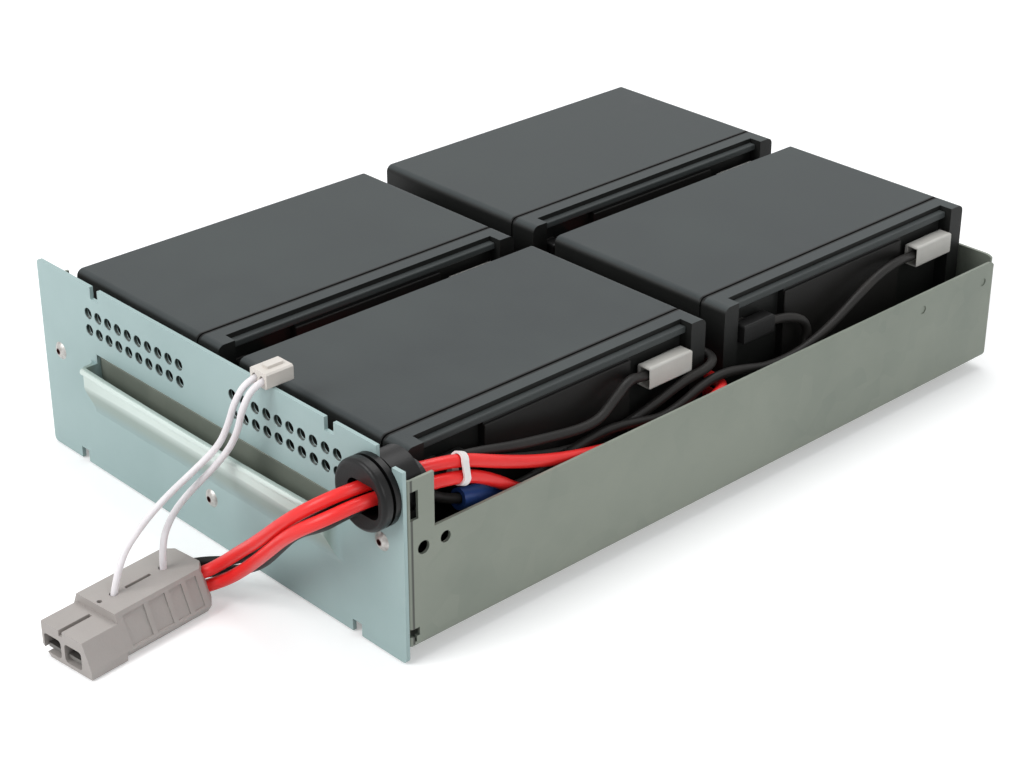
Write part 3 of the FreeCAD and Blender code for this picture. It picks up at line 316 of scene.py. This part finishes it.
# leads: the routes of the source moved a little, in metres; the black ones are thinner than the red
leadDiameter = 0.0048
thinDiameter = 0.0038
senseDiameter = 0.0026
leadFacts = {
    "red_wire_a": {
        "node": "red_lead_a", "diameter": leadDiameter, "colour": "red", "length": 0.535, "end": "connector",
        "stiffness": "medium", "exit": (-0.0127, -0.1250, 0.0589),
        "pieces": ["power_connector", "power_contacts", "white_cable_tie"],
        "route": [(-0.0127, -0.1250, 0.0589), (-0.0127, -0.1185, 0.0589), (-0.0093, -0.1069, 0.0582),
            (-0.0036, -0.0885, 0.0546), (-0.0033, -0.0645, 0.0504), (-0.0034, -0.0425, 0.0466),
            (-0.0033, -0.0245, 0.0456), (-0.0036, -0.0105, 0.0454), (-0.0046, 0.0023, 0.0454),
            (0.0024, 0.0097, 0.0456), (0.0136, 0.0090, 0.0454), (0.0300, 0.0092, 0.0456),
            (0.0520, 0.0088, 0.0454), (0.0760, 0.0092, 0.0456), (0.0910, 0.0090, 0.0455),
            (0.0996, 0.0087, 0.0454), (0.1050, 0.0027, 0.0454), (0.1053, -0.0095, 0.0429),
            (0.1054, -0.0325, 0.0408), (0.1053, -0.0605, 0.0442), (0.1052, -0.0825, 0.0490),
            (0.1051, -0.1005, 0.0546), (0.1049, -0.1165, 0.0610), (0.1040, -0.1295, 0.0664),
            (0.1020, -0.1415, 0.0682), (0.0988, -0.1535, 0.0681), (0.0959, -0.1655, 0.0675),
            (0.0938, -0.1745, 0.0668), (0.0880, -0.1831, 0.0626), (0.0768, -0.1872, 0.0530),
            (0.0610, -0.1863, 0.0384), (0.0454, -0.1833, 0.0256), (0.0356, -0.1851, 0.0168),
            (0.0306, -0.1891, 0.0126), (0.0277, -0.1942, 0.0108)]},
    "red_wire_b": {
        "node": "red_lead_b", "diameter": leadDiameter, "colour": "red", "length": 0.492, "end": "connector",
        "stiffness": "medium", "exit": (-0.0127, 0.0370, 0.0589), "pieces": ["power_connector", "white_cable_tie"],
        "route": [(-0.0127, 0.0370, 0.0589), (-0.0127, 0.0435, 0.0589), (-0.0098, 0.0535, 0.0582),
            (-0.0090, 0.0609, 0.0530), (-0.0089, 0.0609, 0.0440), (-0.0089, 0.0545, 0.0382),
            (-0.0087, 0.0415, 0.0384), (-0.0083, 0.0255, 0.0382), (-0.0070, 0.0143, 0.0382),
            (-0.0014, 0.0088, 0.0382), (0.0080, 0.0091, 0.0381), (0.0260, 0.0088, 0.0383),
            (0.0520, 0.0092, 0.0381), (0.0760, 0.0088, 0.0383), (0.0910, 0.0091, 0.0382),
            (0.0996, 0.0087, 0.0381), (0.1050, 0.0027, 0.0382), (0.1051, -0.0095, 0.0370),
            (0.1049, -0.0325, 0.0358), (0.1051, -0.0625, 0.0366), (0.1051, -0.0845, 0.0382),
            (0.1051, -0.1025, 0.0432), (0.1052, -0.1145, 0.0524), (0.1052, -0.1255, 0.0590),
            (0.1050, -0.1365, 0.0622), (0.1038, -0.1495, 0.0636), (0.1012, -0.1605, 0.0639),
            (0.0992, -0.1715, 0.0640), (0.0944, -0.1831, 0.0602), (0.0820, -0.1889, 0.0514),
            (0.0644, -0.1859, 0.0348), (0.0488, -0.1817, 0.0208), (0.0384, -0.1831, 0.0114),
            (0.0314, -0.1883, 0.0068), (0.0276, -0.1944, 0.0055)]},
    "black_wire_a": {
        "node": "black_lead_a", "diameter": thinDiameter, "colour": "black", "length": 0.273, "end": "connector",
        "stiffness": "medium", "exit": (0.0942, -0.0243, 0.0589), "pieces": ["power_connector", "black_cable_tie"],
        "route": [(0.0942, -0.0243, 0.0589), (0.0942, -0.0311, 0.0596), (0.0970, -0.0405, 0.0632),
            (0.0988, -0.0505, 0.0586), (0.1004, -0.0595, 0.0544), (0.1006, -0.0705, 0.0544),
            (0.1004, -0.0865, 0.0570), (0.1002, -0.1025, 0.0598), (0.0994, -0.1185, 0.0634),
            (0.0990, -0.1315, 0.0654), (0.0978, -0.1425, 0.0652), (0.0948, -0.1545, 0.0644),
            (0.0931, -0.1675, 0.0632), (0.0910, -0.1771, 0.0604), (0.0836, -0.1809, 0.0542),
            (0.0716, -0.1813, 0.0450), (0.0566, -0.1795, 0.0308), (0.0414, -0.1747, 0.0194),
            (0.0304, -0.1775, 0.0120), (0.0216, -0.1845, 0.0110), (0.0168, -0.1954, 0.0110)]},
    "black_wire_b": {
        "node": "black_lead_b", "diameter": thinDiameter, "colour": "black", "length": 0.436, "end": "connector",
        "stiffness": "medium", "exit": (0.0942, 0.1377, 0.0589), "pieces": ["power_connector", "fuse_sleeve"],
        "route": [(0.0942, 0.1377, 0.0589), (0.0942, 0.1311, 0.0589), (0.0972, 0.1215, 0.0618),
            (0.0988, 0.1055, 0.0612), (0.1006, 0.0875, 0.0558), (0.1026, 0.0695, 0.0496),
            (0.1036, 0.0495, 0.0454), (0.1034, 0.0315, 0.0456), (0.1024, 0.0185, 0.0488),
            (0.1014, 0.0075, 0.0506), (0.1008, -0.0035, 0.0494), (0.1008, -0.0155, 0.0448),
            (0.1009, -0.0275, 0.0432), (0.1009, -0.0415, 0.0468), (0.1009, -0.0555, 0.0492),
            (0.1009, -0.0695, 0.0484), (0.1008, -0.0845, 0.0450), (0.1004, -0.1005, 0.0429),
            (0.0999, -0.1125, 0.0448), (0.0998, -0.1315, 0.0492), (0.0992, -0.1425, 0.0560),
            (0.0982, -0.1525, 0.0604), (0.0968, -0.1665, 0.0608), (0.0950, -0.1745, 0.0590),
            (0.0870, -0.1783, 0.0520), (0.0706, -0.1774, 0.0420), (0.0564, -0.1754, 0.0276),
            (0.0428, -0.1724, 0.0142), (0.0316, -0.1743, 0.0074), (0.0226, -0.1819, 0.0060),
            (0.0168, -0.1954, 0.0059)]},
    "link_wire_a": {
        "node": "link_lead_a", "diameter": thinDiameter, "colour": "black", "length": 0.383, "end": "object",
        "stiffness": "medium", "exit": (0.0942, -0.1250, 0.0589), "pieces": [],
        "route": [(0.0942, -0.1250, 0.0589), (0.0942, -0.1185, 0.0589), (0.0956, -0.1079, 0.0544),
            (0.0968, -0.0925, 0.0500), (0.0969, -0.0725, 0.0446), (0.0969, -0.0505, 0.0434),
            (0.0969, -0.0285, 0.0466), (0.0976, -0.0105, 0.0524), (0.0996, 0.0015, 0.0546),
            (0.0946, 0.0092, 0.0548), (0.0840, 0.0090, 0.0546), (0.0640, 0.0092, 0.0548),
            (0.0360, 0.0089, 0.0546), (0.0160, 0.0091, 0.0548), (0.0030, 0.0089, 0.0546),
            (-0.0044, 0.0051, 0.0540), (-0.0070, -0.0065, 0.0506), (-0.0089, -0.0235, 0.0440),
            (-0.0089, -0.0445, 0.0386), (-0.0089, -0.0585, 0.0382), (-0.0089, -0.0681, 0.0387),
            (-0.0089, -0.0745, 0.0444), (-0.0089, -0.0745, 0.0532), (-0.0089, -0.0681, 0.0592),
            (-0.0090, -0.0545, 0.0604), (-0.0090, -0.0409, 0.0600), (-0.0127, -0.0308, 0.0589),
            (-0.0127, -0.0243, 0.0589)]},
    "link_wire_b": {
        "node": "link_lead_b", "diameter": thinDiameter, "colour": "black", "length": 0.319, "end": "object",
        "stiffness": "medium", "exit": (0.0942, 0.0370, 0.0589), "pieces": [],
        "route": [(0.0942, 0.0370, 0.0589), (0.0942, 0.0435, 0.0589), (0.0974, 0.0535, 0.0582),
            (0.0982, 0.0609, 0.0530), (0.0984, 0.0609, 0.0440), (0.0990, 0.0521, 0.0366),
            (0.1010, 0.0365, 0.0312), (0.1016, 0.0209, 0.0308), (0.0996, 0.0131, 0.0308),
            (0.0922, 0.0090, 0.0309), (0.0780, 0.0092, 0.0307), (0.0560, 0.0088, 0.0309),
            (0.0300, 0.0092, 0.0307), (0.0120, 0.0089, 0.0309), (0.0024, 0.0094, 0.0308),
            (-0.0028, 0.0151, 0.0308), (-0.0029, 0.0275, 0.0309), (-0.0028, 0.0495, 0.0324),
            (-0.0032, 0.0755, 0.0400), (-0.0066, 0.0995, 0.0526), (-0.0091, 0.1195, 0.0600),
            (-0.0127, 0.1311, 0.0589), (-0.0127, 0.1377, 0.0589)]},
    "sense_cord_rear": {
        "node": "sense_wire_rear", "diameter": senseDiameter, "colour": "white", "length": 0.099, "end": "plug",
        "stiffness": "limp", "exit": (0.0240, -0.2024, 0.0148), "pieces": ["sense_plug", "sense_plug_contacts"],
        "route": [(0.0384, -0.1583, 0.0846), (0.0384, -0.1679, 0.0846), (0.0376, -0.1735, 0.0764),
            (0.0348, -0.1737, 0.0668), (0.0290, -0.1743, 0.0564), (0.0206, -0.1775, 0.0450),
            (0.0158, -0.1845, 0.0366), (0.0176, -0.1935, 0.0316), (0.0236, -0.2021, 0.0264),
            (0.0240, -0.2024, 0.0148)]},
    "sense_cord_front": {
        "node": "sense_wire_front", "diameter": senseDiameter, "colour": "white", "length": 0.111, "end": "plug",
        "stiffness": "limp", "exit": (0.0256, -0.2249, 0.0148), "pieces": ["sense_plug", "sense_plug_contacts"],
        "route": [(0.0342, -0.1583, 0.0846), (0.0342, -0.1679, 0.0846), (0.0330, -0.1735, 0.0768),
            (0.0296, -0.1739, 0.0674), (0.0244, -0.1751, 0.0566), (0.0176, -0.1821, 0.0462),
            (0.0172, -0.1955, 0.0396), (0.0206, -0.2085, 0.0348), (0.0250, -0.2211, 0.0282),
            (0.0256, -0.2249, 0.0148)]}}

insulation = {
    "red": {"base": rgb(226, 34, 34), "worn": rgb(236, 48, 46), "roughness": 0.34, "shine": 0.4},
    "black": {"base": rgb(22, 21, 20), "worn": rgb(34, 32, 30), "roughness": 0.5, "shine": 0.25},
    "white": {"base": rgb(224, 220, 222), "worn": rgb(236, 232, 234), "roughness": 0.42, "shine": 0.4}}
for colour, look in insulation.items():
    plastics[colour + "Insulation"] = makePlastic("insulation_" + colour, look["base"], look["worn"],
                                                  look["roughness"], 900.0, 0.15, 60.0, 0.0, look["shine"])
leadMesh = {"along": 8, "round": 6}  # steps between two points of the route, and round a quarter


def makeLead(name, node, points, diameter, finish):
    data = bpy.data.curves.new(name, "CURVE")
    data.dimensions = "3D"
    spline = data.splines.new("NURBS")
    spline.points.add(len(points) - 1)
    for control, spot in zip(spline.points, points):
        control.co = (*spot, 1.0)
    spline.order_u = 3
    spline.use_endpoint_u = True
    spline.resolution_u = leadMesh["along"]
    data.bevel_depth = diameter / 2
    data.bevel_resolution = leadMesh["round"]
    data.use_fill_caps = True
    data.materials.append(finish)
    lead = bpy.data.objects.new(name, data)
    bpy.context.scene.collection.objects.link(lead)
    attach(lead, "root")
    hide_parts(node)
    return lead


for name, facts in leadFacts.items():
    finish = plastics[facts["colour"] + "Insulation"]
    lead = makeLead(name, facts["node"], facts["route"], facts["diameter"], finish)
print("leads laid")


def placePiece(name, mesh, finish, replaced=None):
    mesh.materials.append(finish)
    piece = bpy.data.objects.new(name, mesh)
    bpy.context.scene.collection.objects.link(piece)
    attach(piece, "root")
    if replaced:
        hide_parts(replaced)


def meshData(name, mesh):
    data = bpy.data.meshes.new(name)
    mesh.to_mesh(data)
    mesh.free()
    return data


def addBlock(mesh, turned, rounding):
    made = bmesh.ops.create_cube(mesh, size=1.0, matrix=turned)
    edges = list({edge for vert in made["verts"] for edge in vert.link_edges})
    bmesh.ops.bevel(mesh, geom=edges, offset=rounding, segments=3, affect="EDGES", profile=0.5)


# cable ties: a flat band bent round the two centres, with its head on the side away from view
ties = {
    "white_tie_band": {"node": "white_cable_tie", "finish": "tieWhite", "slot": "tie_white", "hug": 0.0026,
                       "wall": 0.0009, "width": 0.0029, "head": 0.0036,
                       "centres": [(0.1039, -0.1315, 0.0665), (0.1051, -0.1315, 0.0612)],
                       "heading": (-0.06, -0.93, 0.37)},
    "black_tie_band": {"node": "black_cable_tie", "finish": "tieBlack", "slot": "tie_black", "hug": 0.0071,
                       "wall": 0.0009, "width": 0.0026, "head": 0.0040,
                       "centres": [(0.0994, -0.1490, 0.0639), (0.0995, -0.1490, 0.0637)],
                       "heading": (0.0, -1.0, 0.0)}}
tieShape = {"steps": 20, "headLift": 0.35, "headOver": 0.0008, "headTall": 0.8, "rounding": 0.0005}


def makeTie(name, facts):
    heading = Vector(facts["heading"]).normalized()
    first, second = (Vector(centre) for centre in facts["centres"])
    along = second - first
    along = (along - heading * along.dot(heading)).normalized()
    side = heading.cross(along)
    mesh = bmesh.new()
    rings = []
    for step in range(2 * tieShape["steps"]):
        turn = math.pi * (step + 0.5) / tieShape["steps"]
        centre = second if turn < math.pi else first
        outward = side * math.cos(turn) + along * math.sin(turn)
        corners = []
        for radius in (facts["hug"], facts["hug"] + facts["wall"]):
            for edge in (-0.5, 0.5):
                corners.append(mesh.verts.new(centre + outward * radius + heading * facts["width"] * edge))
        rings.append((corners[0], corners[1], corners[3], corners[2]))
    for index, ring in enumerate(rings):
        following = rings[(index + 1) % len(rings)]
        for corner in range(4):
            after = (corner + 1) % 4
            mesh.faces.new((ring[corner], ring[after], following[after], following[corner]))
    outward = -side
    centre = second + outward * (facts["hug"] + facts["wall"] + facts["head"] * tieShape["headLift"])
    headTurn = Matrix((heading.cross(outward), heading, outward)).transposed().to_4x4()
    size = Matrix.Diagonal((facts["head"], facts["width"] + tieShape["headOver"],
                            facts["head"] * tieShape["headTall"], 1.0))
    addBlock(mesh, Matrix.Translation(centre) @ headTurn @ size, tieShape["rounding"])
    bmesh.ops.recalc_face_normals(mesh, faces=mesh.faces)
    placePiece(name, meshData(name, mesh), plastics[facts["finish"]], facts["node"])


for name, facts in ties.items():
    makeTie(name, facts)

# lid details, from each battery's lower front left corner: two long ridges and a low vent cover
lidPlan = {
    "corners": {"front_right": (0.0008, -0.147475), "rear_right": (0.0008, 0.014525),
                "front_left": (-0.1061, -0.147475), "rear_left": (-0.1061, 0.014525)},
    "lidTop": 0.0880, "length": 0.151, "endBlock": 0.0079, "floor": 0.0082, "top": 0.0732,
    "ridge": {"count": 2, "inset": 0.0020, "width": 0.0028, "height": 0.0031, "sunk": 0.0005, "round": 0.0006},
    "cover": {"start": 0.0385, "inset": 0.0058, "low": 0.0026, "height": 0.0036, "round": 0.00042}}


def makeRidgeTree(finish):
    tree = bpy.data.node_groups.new("lidRidges", "GeometryNodeTree")
    for label, kind in (("Count", "NodeSocketInt"), ("Centre", "NodeSocketVector"),
                        ("Size", "NodeSocketVector"), ("Spacing", "NodeSocketFloat")):
        tree.interface.new_socket(label, in_out="INPUT", socket_type=kind)
    tree.interface.new_socket("Geometry", in_out="OUTPUT", socket_type="NodeSocketGeometry")
    given = tree.nodes.new("NodeGroupInput").outputs
    offset = addNode(tree, "ShaderNodeCombineXYZ", {"Z": given["Spacing"]})
    line = addNode(tree, "GeometryNodeMeshLine", {"Count": given["Count"], "Start Location": given["Centre"],
                                                  "Offset": offset.outputs[0]})
    bar = addNode(tree, "GeometryNodeMeshCube", {"Size": given["Size"]})
    bars = addNode(tree, "GeometryNodeInstanceOnPoints", {"Points": line.outputs[0], "Instance": bar.outputs[0]})
    solid = addNode(tree, "GeometryNodeRealizeInstances", {"Geometry": bars.outputs[0]})
    dressed = addNode(tree, "GeometryNodeSetMaterial", {"Geometry": solid.outputs[0], "Material": finish})
    tree.links.new(dressed.outputs[0], tree.nodes.new("NodeGroupOutput").inputs["Geometry"])
    return tree


def growRidges(name, tree, values, rounding):
    holder = bpy.data.objects.new(name, bpy.data.meshes.new(name))
    bpy.context.scene.collection.objects.link(holder)
    grower = holder.modifiers.new("ridges", "NODES")
    grower.node_group = tree
    for item in tree.interface.items_tree:
        if item.in_out == "INPUT":
            grower[item.identifier] = values[item.name]
    bevel = holder.modifiers.new("rounding", "BEVEL")
    bevel.width = rounding
    bevel.segments = 3
    bevel.limit_method = "NONE"
    data = bpy.data.meshes.new_from_object(holder.evaluated_get(bpy.context.evaluated_depsgraph_get()))
    bpy.data.objects.remove(holder)
    data.materials.clear()
    return data


def addRidges(side, face, y):
    ridge = lidPlan["ridge"]
    low = lidPlan["floor"] + ridge["inset"] + ridge["width"] / 2
    high = lidPlan["top"] - ridge["inset"] - ridge["width"] / 2
    values = {"Count": ridge["count"], "Spacing": (high - low) / (ridge["count"] - 1),
              "Centre": (face + (ridge["height"] - ridge["sunk"]) / 2, y + lidPlan["length"] / 2, low),
              "Size": (ridge["height"] + ridge["sunk"], lidPlan["length"] - 2 * lidPlan["endBlock"], ridge["width"])}
    name = side + "_lid_ridges"
    placePiece(name, growRidges(name, ridgeTree, values, ridge["round"]), plastics["ridge"])


def addCover(side, face, y):
    cover = lidPlan["cover"]
    low = Vector((face + cover["low"], y + cover["start"], lidPlan["floor"] + cover["inset"]))
    high = Vector((face + cover["height"], y + lidPlan["length"] - cover["start"], lidPlan["top"] - cover["inset"]))
    mesh = bmesh.new()
    addBlock(mesh, Matrix.Translation((low + high) / 2) @ Matrix.Diagonal((*(high - low), 1.0)), cover["round"])
    name = side + "_vent_cover"
    placePiece(name, meshData(name, mesh), plastics["cover"], side + "_battery_vent_cover")


ridgeTree = makeRidgeTree(plastics["ridge"])
for side, (x, y) in lidPlan["corners"].items():
    addRidges(side, x + lidPlan["lidTop"], y)
    addCover(side, x + lidPlan["lidTop"], y)
print("ties and lid details placed")

# floor and backdrop: white where they are looked at, with the shadow kept near the tray
stage = {"reach": 6.0, "drop": 0.0006, "base": 0.8, "roughness": 0.9, "glow": 0.30, "pale": 0.84,
         "nearEdge": 0.45, "farEdge": 1.1, "sky": (0.94, 0.97, 1.0, 1), "skyStrength": 0.42}
white = (1, 1, 1, 1)


def seenDirectly(tree):
    path = addNode(tree, "ShaderNodeLightPath").outputs
    glossy = sumNode(tree, "MAXIMUM", path["Is Camera Ray"], path["Is Glossy Ray"])
    return sumNode(tree, "MAXIMUM", glossy, path["Is Transmission Ray"])


def makeStage():
    mesh = bpy.data.meshes.new("floor")
    reach = stage["reach"]
    mesh.from_pydata([(-reach, -reach, 0), (reach, -reach, 0), (reach, reach, 0), (-reach, reach, 0)],
                     [], [(0, 1, 2, 3)])
    floor = bpy.data.objects.new("floor", mesh)
    floor.location.z = -stage["drop"]
    bpy.context.scene.collection.objects.link(floor)
    material, tree, plain, place = newMaterial("floor")
    plain.inputs["Base Color"].default_value = (*[stage["base"]] * 3, 1)
    plain.inputs["Roughness"].default_value = stage["roughness"]
    glow = addNode(tree, "ShaderNodeEmission", {"Color": white, "Strength": stage["glow"]})
    pale = addNode(tree, "ShaderNodeBsdfDiffuse", {"Color": (*[stage["pale"]] * 3, 1)})
    near = addNode(tree, "ShaderNodeAddShader", {0: glow.outputs[0], 1: pale.outputs[0]})
    away = addNode(tree, "ShaderNodeVectorMath", {0: place}, operation="LENGTH").outputs["Value"]
    share = remap(tree, away, stage["nearEdge"], stage["farEdge"], 0.0, 1.0)
    far = addNode(tree, "ShaderNodeEmission", {"Color": white, "Strength": 1.0})
    seen = addNode(tree, "ShaderNodeMixShader", {0: share, 1: near.outputs[0], 2: far.outputs[0]})
    mixed = addNode(tree, "ShaderNodeMixShader", {0: seenDirectly(tree), 1: plain.outputs[0], 2: seen.outputs[0]})
    tree.links.new(mixed.outputs[0], tree.nodes["Material Output"].inputs["Surface"])
    mesh.materials.append(material)


def makeWorld():
    world = bpy.data.worlds.new("world")
    bpy.context.scene.world = world
    world.use_nodes = True
    tree = world.node_tree
    sky = tree.nodes["Background"]
    sky.inputs["Color"].default_value = stage["sky"]
    sky.inputs["Strength"].default_value = stage["skyStrength"]
    seen = addNode(tree, "ShaderNodeBackground", {"Color": white, "Strength": 1.0})
    mixed = addNode(tree, "ShaderNodeMixShader", {0: seenDirectly(tree), 1: sky.outputs[0], 2: seen.outputs[0]})
    tree.links.new(mixed.outputs[0], tree.nodes["World Output"].inputs["Surface"])


# soft round lamps: the spot, what they point at, their width and their power
lamps = {"key": {"spot": (-0.35, -1.35, 1.05), "target": (0, 0, 0.03), "size": 1.1, "power": 17.5},
         "top": {"spot": (-0.2, 0.5, 1.6), "target": (0, 0, 0.05), "size": 1.3, "power": 13},
         "side": {"spot": (1.5, -0.1, 0.7), "target": (0, 0, 0.03), "size": 0.9, "power": 5.5}}


def addLamp(name, facts):
    data = bpy.data.lights.new(name, "AREA")
    data.shape = "DISK"
    data.size = facts["size"]
    data.energy = facts["power"]
    lamp = bpy.data.objects.new(name, data)
    lamp.location = facts["spot"]
    aim = Vector(facts["target"]) - Vector(facts["spot"])
    lamp.rotation_euler = aim.to_track_quat("-Z", "Y").to_euler()
    bpy.context.scene.collection.objects.link(lamp)


makeStage()
makeWorld()
for name, facts in lamps.items():
    addLamp(name, facts)
print("stage and light set")
